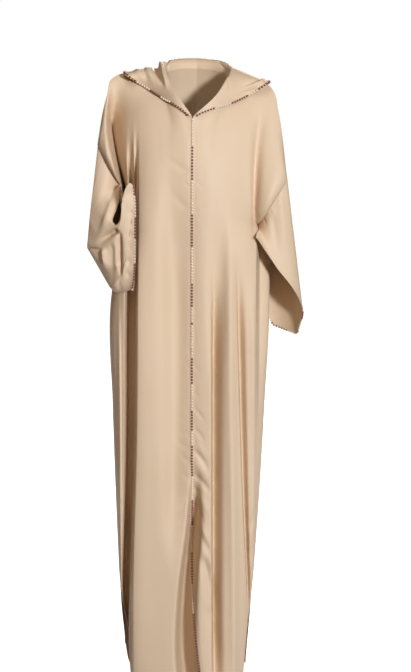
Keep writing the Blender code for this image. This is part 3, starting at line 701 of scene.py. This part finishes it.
def spread(pushes, closed):
    """Pushes eased into their surroundings, nowhere smaller than they were."""
    eased = pushes
    for _ in range(SPREADS):
        wide = np.pad(eased, ((0, 0), (1, 1)), mode="wrap" if closed else "edge")
        wide = (wide[:, :-2] + 2 * wide[:, 1:-1] + wide[:, 2:]) / 4
        tall = np.pad(wide, ((1, 1), (0, 0)), mode="edge")
        eased = np.maximum(pushes, (tall[:-2] + 2 * tall[1:-1] + tall[2:]) / 4)
    return eased


def keep_outside(grid, middles, trees, gaps, closed=False):
    """Moves points away from their middles, which are within a metre, to clear surfaces by a row's gap."""
    middles = np.broadcast_to(middles, grid.shape)
    ways = unit(grid - middles)
    pushes = np.zeros(grid.shape[:2])
    for row, gap in enumerate(gaps):
        for col in range(grid.shape[1]):
            point, middle, out = (Vector(points[row, col]) for points in (grid, middles, ways))
            for tree in trees:
                place = tree.ray_cast(middle + out, -out, 1.0)[0]
                if place is not None:
                    pushes[row, col] = max(pushes[row, col], (place - point).dot(out) + gap)
    return grid + ways * spread(pushes, closed)[..., None]


def inset(grid, axis, end):
    """Draws the line of points at one end of an axis in by half a seam gap."""
    lines = np.moveaxis(grid, axis, 0).copy()
    edge, inner = (0, 1) if end == "first" else (-1, -2)
    lines[edge] += unit(lines[inner] - lines[edge]) * SEAM_GAP / 2
    return np.moveaxis(lines, 0, axis)


def off_seam(grid, side):
    """Moves a sleeve's first row clear of the armhole, square to the seam's ring."""
    ring = SEAM_RING[side]
    moved = grid.copy()
    moved[0] += unit(np.array([SIGN[side] * ring["rise"], 0.0, -ring["across"]])) * SLEEVE_SEAM_GAP
    return moved


def grid_normals(grid, closed=False):
    """The outward normal at each point of a grid."""
    flat = grid.reshape(-1, 3)
    faces = grid_faces(*grid.shape[:2], closed=closed)
    a, b, c, d = (flat[faces[:, k]] for k in range(4))
    own = np.zeros_like(flat)
    for k in range(4):
        np.add.at(own, faces[:, k], np.cross(c - a, d - b))
    return unit(own).reshape(grid.shape)


def hem_raise(name, grid):
    """How much thicker the cloth is, on each face, where its edge is turned over."""
    extra = np.zeros(grid.shape[:2])
    if name.startswith(("front", "back")):
        extra[-HEM_ROWS:] = HEM_RAISE["foot"]
    if name.startswith("sleeve"):
        half = grid.shape[1] // 2
        plain = slice(0, half) if name.startswith("sleeve_right") else slice(half + 1, None)
        extra[-HEM_ROWS:, plain] = HEM_RAISE["cuff"]
    return extra[..., None]


def add_piece(name, points, faces, materials):
    """A new smooth mesh in the scene, on the garment's one body."""
    mesh = bpy.data.meshes.new(name)
    mesh.from_pydata(points.tolist(), [], faces)
    for material in materials:
        mesh.materials.append(material)
    mesh.shade_smooth()
    piece = bpy.data.objects.new(name, mesh)
    bpy.context.scene.collection.objects.link(piece)
    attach(piece, "root")
    return piece


def cloth(name, grid, closed=False):
    """A panel of cloth: outer points, inner ones a wall's thickness behind, and a rim round free edges."""
    normals, extra = grid_normals(grid, closed), hem_raise(name, grid)
    outer, inner = (grid + normals * extra).reshape(-1, 3), (grid - normals * (WALL + extra)).reshape(-1, 3)
    faces = grid_faces(*grid.shape[:2], closed=closed)
    count = len(outer)
    edges = {(face[k], face[(k + 1) % 4]) for face in faces.tolist() for k in range(4)}
    rim = [(b, a, a + count, b + count) for a, b in sorted(edges) if (b, a) not in edges]
    body = faces.tolist() + (faces[:, ::-1] + count).tolist() + rim
    piece = add_piece(name, np.concatenate([outer, inner]), body, [CLOTH])
    piece.data.set_sharp_from_angle(angle=SHARP_TURN)
    return piece


# The panels
def body_grids():
    """The two fronts and the back, each with its columns in the order that turns its faces outwards."""
    half = {(side, "front"): body_half(side, "front", FRONT_GRID) for side in SIGN}
    half.update({(side, "back"): body_half(side, "back", BACK_GRID) for side in SIGN})
    return {
        "front_right": half["right", "front"][:, ::-1],
        "front_left": half["left", "front"],
        "back": np.concatenate([half["left", "back"][:, ::-1], half["right", "back"][:, 1:]], axis=1),
    }


def sleeve_grids(body):
    """The sleeves, just clear of the body's sides."""
    sides = [tree_of(body[name][FRONT_GRID["upper"]:]) for name in ("front_right", "front_left")]
    sides.append(tree_of(body["back"][BACK_GRID["upper"]:]))
    grids = {}
    for side in SIGN:
        grid = sleeve_points(side, SLEEVE_GRID["columns"], SLEEVE_GRID["rows"])
        grid = creased(grid, -SIGN[side] * grid_normals(grid, closed=True), SLEEVE_CREASES[side])
        gaps = SLEEVE_REST * (SLEEVE_REST_AT_SEAM + np.linspace(0, 1, len(grid) - 1) ** 2)
        grid[1:] = keep_outside(grid[1:], grid[1:] * np.array([0, 0, 1]), sides, gaps, closed=True)
        grids["sleeve_" + side] = grid if side == "right" else np.roll(grid[:, ::-1], 1, axis=1)
    return grids


def lay_on_chest(flap, trees):
    """Brings the front part of a hood's flap down on the chest, more the nearer it is to the beaded edge."""
    shares = np.linspace(0, 1, flap.shape[1])
    known, moves = [], []
    for share, point in zip(shares, flap[-1]):
        start = Vector((point[0], -1.0, point[2]))
        found = [tree.ray_cast(start, Vector((0, 1, 0)))[0] for tree in trees]
        depths = [place.y - point[1] for place in found if place is not None]
        if depths and share < LAID["share"] and abs(min(depths)) < LAID["reach"]:
            known.append(share)
            moves.append(min(depths) - HOOD_REST)
    moves = np.interp(shares, known, moves)
    moves = np.pad(moves, LAID["columns"] // 2, mode="edge")
    moves = np.convolve(moves, np.ones(LAID["columns"]) / LAID["columns"], mode="valid")
    moves = moves * smooth_step((LAID["share"] - shares) / LAID["fade"])
    flap[..., 1] += np.linspace(0, 1, len(flap))[:, None] ** 2 * moves


def hood_grids(body):
    """The two halves of the hood, lying on the shoulders and the back."""
    trees = [tree_of(grid) for grid in body.values()]
    grids = {}
    for side in SIGN:
        roll_rows = HOOD_GRID["roll"]
        grid = hood_points(side, HOOD_GRID["columns"], roll_rows, HOOD_GRID["flap"])
        off_beads = smooth_step(np.linspace(1, 0, len(grid)) / BEAD_CREASE_FADE)[:, None, None]
        grid += (creased(grid, SIGN[side] * grid_normals(grid), HOOD_CREASES[side]) - grid) * off_beads
        flap = grid[roll_rows:]
        lay_on_chest(flap, trees)
        grid[roll_rows:] = keep_outside(flap, CHEST_MIDDLE, trees, np.full(len(flap), HOOD_REST))
        for line in range(CORNER_COLUMNS):
            share = CORNER_SHARE * (1 - line / CORNER_COLUMNS)
            grid[:, line] += (grid[:, CORNER_COLUMNS] - grid[:, line]) * share
        grids["hood_" + side] = grid if side == "right" else grid[:, ::-1]
    return grids


# Beads
def bead_template(rings=8, segments=12):
    """The points and faces of one knotted bead of radius 1, with the ridges of its crossing wraps."""
    points = [(0.0, 0.0, -1.0)]
    for ring in range(1, rings):
        tilt = math.pi * ring / rings
        wide, level = math.sin(tilt), -math.cos(tilt)
        for segment in range(segments):
            angle = 2 * math.pi * segment / segments
            puff = 1 + BEAD_PUFF * math.cos(3 * angle + 2 * tilt) * wide
            points.append((wide * math.cos(angle) * puff, wide * math.sin(angle) * puff, level))
    points.append((0.0, 0.0, 1.0))
    top = len(points) - 1
    faces = []
    for segment in range(segments):
        beside = (segment + 1) % segments
        faces.append((0, 1 + beside, 1 + segment))
        for ring in range(rings - 2):
            low, high = 1 + ring * segments, 1 + (ring + 1) * segments
            faces.append((low + segment, low + beside, high + beside, high + segment))
        faces.append((top, top - segments + segment, top - segments + beside))
    return np.array(points), faces


def spaced(path, pitch):
    """Places along a path, one for each pitch of its length."""
    steps = np.linalg.norm(np.diff(path, axis=0), axis=1)
    keys = np.concatenate([[0.0], np.cumsum(steps)])
    at = np.arange(pitch / 2, keys[-1] - pitch / 4, pitch)
    return np.stack([np.interp(at, keys, path[:, k]) for k in range(3)], axis=-1)


def beads(name, path, normals, runs, lift):
    """A row of knotted beads along a path over the cloth, lifted off it by a share of their height."""
    places = spaced(path, BEAD_PITCH)
    template, faces = bead_template()
    local = template * np.array(BEAD_SIZE) / 2
    order = [turn % 2 for turn, count in enumerate(runs) for _ in range(count)]
    points, polygons, colours = [], [], []
    for number, (place, way) in enumerate(zip(places, unit(np.gradient(places, axis=0)))):
        normal = normals[np.argmin(np.linalg.norm(path - place, axis=1))]
        up = unit(normal - way * np.dot(normal, way))
        aside = np.cross(up, way)
        middle = place + up * BEAD_SIZE[2] * lift
        points.append(middle + local[:, :1] * way + local[:, 1:2] * aside + local[:, 2:] * up)
        polygons += [tuple(number * len(template) + k for k in face) for face in faces]
        colours += [order[min(number, len(order) - 1)]] * len(faces)
    piece = add_piece(name, np.concatenate(points), polygons, [MAROON, CREAM])
    piece.data.polygons.foreach_set("material_index", colours)
    return piece


# Materials
def node(tree, kind, **values):
    """A new node of this kind, with these values on its sockets."""
    made = tree.nodes.new("ShaderNode" + kind)
    for socket, value in values.items():
        made.inputs[socket].default_value = value
    return made


def wire(tree, *wires):
    """Links an output of one node to an input of another, for each wire."""
    for start, output, end, socket in wires:
        tree.links.new(start.outputs[output], end.inputs[socket])


def ramp_between(tree, low, low_colour, high, high_colour):
    """A new node that turns a value into a colour between two."""
    made = node(tree, "ValToRGB")
    for element, place, colour in zip(made.color_ramp.elements, (low, high), (low_colour, high_colour)):
        element.position = place
        element.color = (*colour, 1)
    return made


def shader_of(name, colour, roughness, sheen, sheen_tint, specular):
    """A new material and its Principled shader, with what is the same all over set on its sockets."""
    made = bpy.data.materials.new(name)
    made.use_nodes = True
    shader = made.node_tree.nodes["Principled BSDF"]
    shader.inputs["Base Color"].default_value = (*colour, 1)
    shader.inputs["Roughness"].default_value = roughness
    shader.inputs["Sheen Weight"].default_value = sheen
    shader.inputs["Sheen Roughness"].default_value = 0.4
    shader.inputs["Sheen Tint"].default_value = (*sheen_tint, 1)
    shader.inputs["Specular IOR Level"].default_value = specular
    return made, shader


def cloth_material():
    """Satin crepe: a fine pebbled grain, faint warp and weft, and a colour that drifts a little."""
    made, shader = shader_of("satin_crepe", (0.655, 0.491, 0.328), 0.52, 0.06, (1.0, 0.86, 0.70), 0.25)
    tree = made.node_tree
    place = node(tree, "TexCoord")
    drift = node(tree, "TexNoise", Scale=5.0, Detail=3.0)
    ramp = ramp_between(tree, 0.3, (0.640, 0.480, 0.318), 0.7, (0.670, 0.502, 0.338))
    grain = node(tree, "TexNoise", Scale=700.0, Detail=2.0)
    weave = node(tree, "TexWave", Scale=380.0, Distortion=1.5)
    weave.bands_direction = "Z"
    grain_bump = node(tree, "Bump", Strength=0.25, Distance=0.0003)
    weave_bump = node(tree, "Bump", Strength=0.10, Distance=0.0002)
    wire(
        tree,
        (place, "Object", drift, "Vector"),
        (drift, "Fac", ramp, "Fac"),
        (ramp, "Color", shader, "Base Color"),
        (place, "Object", grain, "Vector"),
        (place, "Object", weave, "Vector"),
        (grain, "Fac", grain_bump, "Height"),
        (weave, "Fac", weave_bump, "Height"),
        (grain_bump, "Normal", weave_bump, "Normal"),
        (weave_bump, "Normal", shader, "Normal"),
    )
    return made


def bead_material(name, colour, painted_shade):
    """Silk thread wound and knotted: fine wraps, with painted shade that darkens the colour in the hollows
    between them.
    """
    made, shader = shader_of(name, colour, 0.42, 0.3, (1.0, 0.9, 0.85), 0.5)
    tree = made.node_tree
    place = node(tree, "TexCoord")
    wraps = node(tree, "TexVoronoi", Scale=900.0)
    # Painted shade: the colour darkens towards the low places of the wraps' bump
    ramp = ramp_between(tree, 0.0, painted_shade, 0.55, colour)
    bump = node(tree, "Bump", Strength=0.4, Distance=0.0003)
    wire(
        tree,
        (place, "Object", wraps, "Vector"),
        (wraps, "Distance", ramp, "Fac"),
        (ramp, "Color", shader, "Base Color"),
        (wraps, "Distance", bump, "Height"),
        (bump, "Normal", shader, "Normal"),
    )
    return made


CLOTH = cloth_material()
# The second colour of each thread is painted shade for the hollows between its wraps
MAROON = bead_material("maroon_thread", (0.20, 0.030, 0.018), (0.06, 0.010, 0.006))
CREAM = bead_material("cream_thread", (0.80, 0.69, 0.55), (0.42, 0.30, 0.20))


def place_cloth(name, grid):
    """A panel in place of the frame's plain one, drawn in at its seams."""
    tube = name.startswith("sleeve")
    drawn = inset(grid, 0, "first")
    if tube:
        drawn = off_seam(drawn, name.split("_")[1])
    else:
        drawn = inset(inset(drawn, 1, "first"), 1, "last")
    piece = cloth(name + "_cloth", drawn, closed=tube)
    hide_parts(name)


def front_beads(front):
    """The braid over the centre front seam, from just under the neck to the hem."""
    path = front[:, 0].copy()
    path[0] += unit(path[1] - path[0]) * BRAID_START
    row = beads("beads_front", path, grid_normals(front)[:, 0], FRONT_RUNS, BEAD_LIFT["seam"])
    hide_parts("braid_front")


def hood_beads(side, hood):
    """The braid along the edge of half the hood, from its front point round to the back."""
    away = -grid_normals(hood)[-1]
    path = hood[-1] + unit(hood[-2] - hood[-1]) * BEAD_INSET["hood"] + away * WALL
    if side == "left":
        path, away = path[::-1], away[::-1]
    row = beads("beads_hood_" + side, path, away, HOOD_RUNS[side], BEAD_LIFT["seam"])
    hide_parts("braid_hood_" + side)


def cuff_beads(side, sleeve):
    """The braid along the longer back half of a cuff, from its outer corner to its inner one."""
    count = sleeve.shape[1]
    half = count // 2
    turns = np.arange(half, count + 1)[::-1] % count if side == "right" else np.arange(half + 1)
    edge, line = sleeve[-1, turns], sleeve[-2, turns]
    path = edge + unit(line - edge) * BEAD_INSET["cuff"]
    out = grid_normals(sleeve, closed=True)[-1, turns]
    row = beads("beads_cuff_" + side, path, out, CUFF_RUNS[side], BEAD_LIFT["cuff"])
    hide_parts("braid_cuff_" + side)


def build_garment():
    """Makes every panel and braid, in place of the frame's plain ones."""
    body = body_grids()
    grids = {**body, **sleeve_grids(body), **hood_grids(body)}
    for name, grid in grids.items():
        place_cloth(name, grid)
    front_beads(grids["front_left"])
    for side in SIGN:
        hood_beads(side, grids["hood_" + side])
        cuff_beads(side, grids["sleeve_" + side])


# Stage: the camera's place and tilt, its focal length as a share of the picture's height, both in the photo's
# pixels, the floor's height and half its width, and each light's place, aim, size, power and colour
CAMERA_PLACE = (0.032, -3.5, 0.0)
CAMERA_TILT = math.radians(80)
SENSOR = 36.0
FOCAL_SHARE = 1468 / 672
FLOOR = -1.50
FLOOR_HALF = 14.0
LIGHTS = {
    "key": ((2.4, -5.2, 0.6), (0.0, 0.0, -0.75), 0.6, 320.0, (0.93, 1.00, 1.11)),
    "fill": ((-0.7, -3.3, 1.3), (0.0, 0.0, -0.6), 1.6, 10.0, (1.0, 0.80, 0.56)),
    "top": ((-0.5, -1.4, 2.4), (0.0, 0.0, 0.0), 1.0, 18.0, (1.0, 1.00, 1.08)),
    "back": ((0.4, 3.2, 0.6), (0.0, 0.0, -0.8), 1.6, 70.0, (1.0, 0.96, 0.92)),
}


def camera():
    """The photograph's view: level with the shoulders, looking down ten degrees."""
    made = bpy.data.objects.new("camera", bpy.data.cameras.new("camera"))
    bpy.context.scene.collection.objects.link(made)
    made.location = CAMERA_PLACE
    made.rotation_euler = (CAMERA_TILT, 0, 0)
    made.data.sensor_fit = "VERTICAL"
    made.data.sensor_height = SENSOR
    made.data.lens = SENSOR * FOCAL_SHARE
    bpy.context.scene.camera = made


def light(name, place, aim, size, power, colour):
    """A soft square light at a place, turned to face a point."""
    data = bpy.data.lights.new(name, "AREA")
    data.shape = "SQUARE"
    data.size = size
    data.energy = power
    data.color = colour
    made = bpy.data.objects.new(name, data)
    made.location = place
    made.rotation_euler = (Vector(aim) - Vector(place)).to_track_quat("-Z", "Y").to_euler()
    bpy.context.scene.collection.objects.link(made)


def floor():
    """A plain pale floor just under the hem."""
    mesh = bpy.data.meshes.new("floor")
    corners = [(FLOOR_HALF * x, FLOOR_HALF * y, FLOOR) for x, y in ((-1, -1), (1, -1), (1, 1), (-1, 1))]
    mesh.from_pydata(corners, [], [(0, 1, 2, 3)])
    made, shader = shader_of("pale_floor", (0.9, 0.9, 0.9), 0.8, 0.0, (1, 1, 1), 0.2)
    shader.inputs["Emission Color"].default_value = (1, 1, 1, 1)
    shader.inputs["Emission Strength"].default_value = 1.0
    mesh.materials.append(made)
    piece = bpy.data.objects.new("floor", mesh)
    bpy.context.scene.collection.objects.link(piece)
    piece.visible_diffuse = False


def sky():
    """White behind everything, and a low even light from all round."""
    world = bpy.data.worlds.new("studio")
    bpy.context.scene.world = world
    world.use_nodes = True
    tree = world.node_tree
    tree.nodes.clear()
    seen = node(tree, "Background", Strength=1.0, Color=(1, 1, 1, 1))
    fill = node(tree, "Background", Strength=0.12, Color=(1.0, 0.62, 0.32, 1))
    rays = node(tree, "LightPath")
    mix = node(tree, "MixShader")
    out = node(tree, "OutputWorld")
    wire(
        tree,
        (rays, "Is Camera Ray", mix, "Fac"),
        (fill, "Background", mix, 1),
        (seen, "Background", mix, 2),
        (mix, "Shader", out, "Surface"),
    )


build_garment()
camera()
for light_name, settings in LIGHTS.items():
    light(light_name, *settings)
floor()
sky()
bpy.context.scene.view_settings.view_transform = "Standard"
